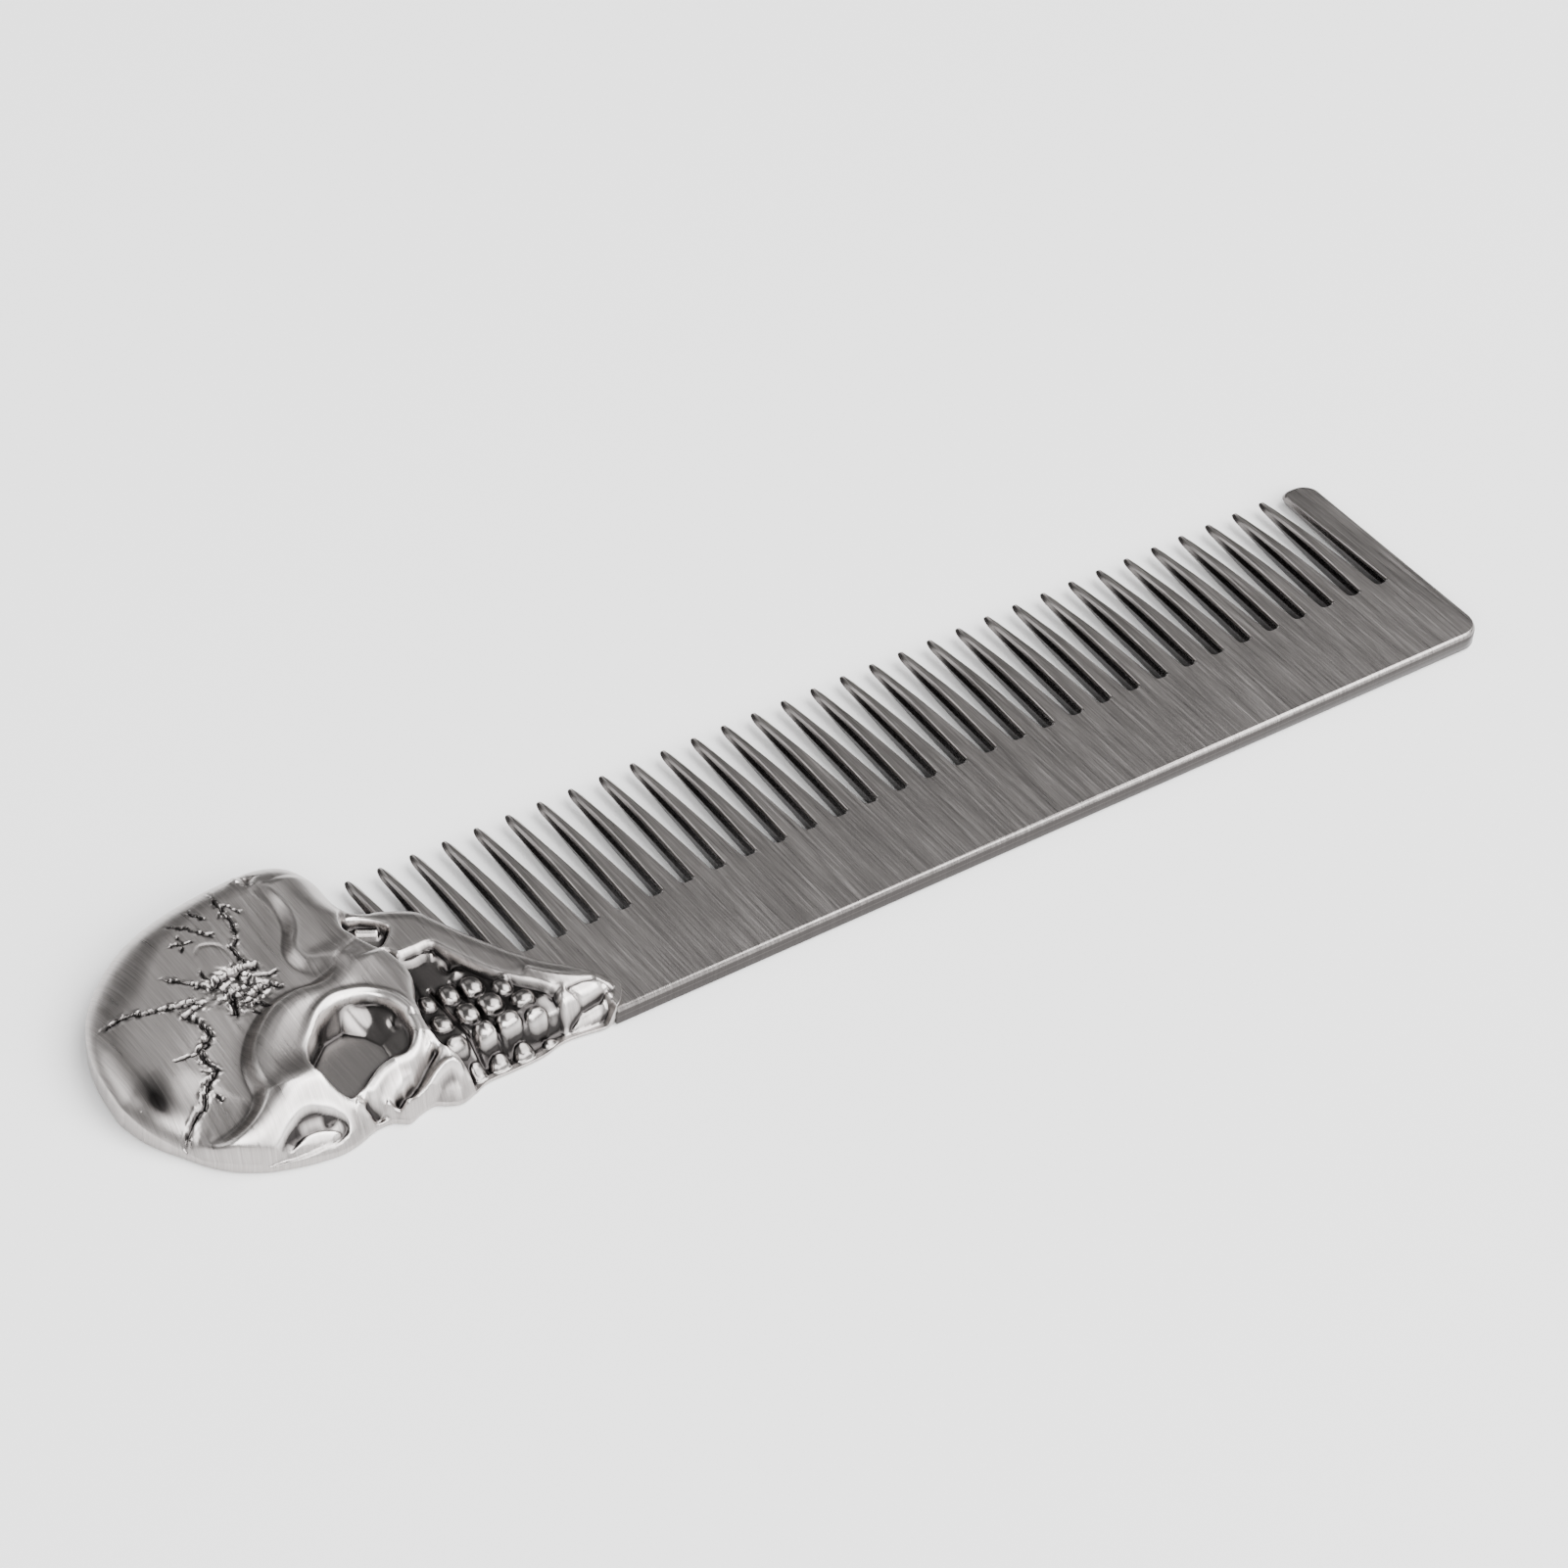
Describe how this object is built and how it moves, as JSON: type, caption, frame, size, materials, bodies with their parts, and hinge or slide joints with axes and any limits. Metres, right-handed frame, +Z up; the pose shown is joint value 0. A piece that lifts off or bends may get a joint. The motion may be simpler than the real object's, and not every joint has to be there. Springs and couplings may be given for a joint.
{
  "type": "beard comb",
  "caption": "Flat metal beard comb: straight spine, fine tapered teeth and a guard tooth, with a cast skull relief riveted over one end as the grip.",
  "frame": {"origin": "centre of the comb's box in X and Y, on the flat back that it rests on", "axes": "+X along the blade from the skull to the guard tooth, +Y towards the tooth tips, +Z up from the flat back through the relief"},
  "size_m": [0.1348, 0.0298, 0.0064],
  "materials": {
    "brushed_blade": "antique silver plating over a zinc alloy, finely brushed along the teeth, darkened in the gaps",
    "antique_casting": "antique silver plating over a zinc alloy casting, dark patina in the hollows and polished on the high places",
    "rivet_metal": "plain filed rivet heads, flush with the back"
  },
  "bodies": {
    "root": {"comb_blade": "brushed_blade", "skull_casting": "antique_casting", "rivet_crown": "rivet_metal", "rivet_cheek": "rivet_metal", "rivet_chin": "rivet_metal"}
  },
  "joints": []
}
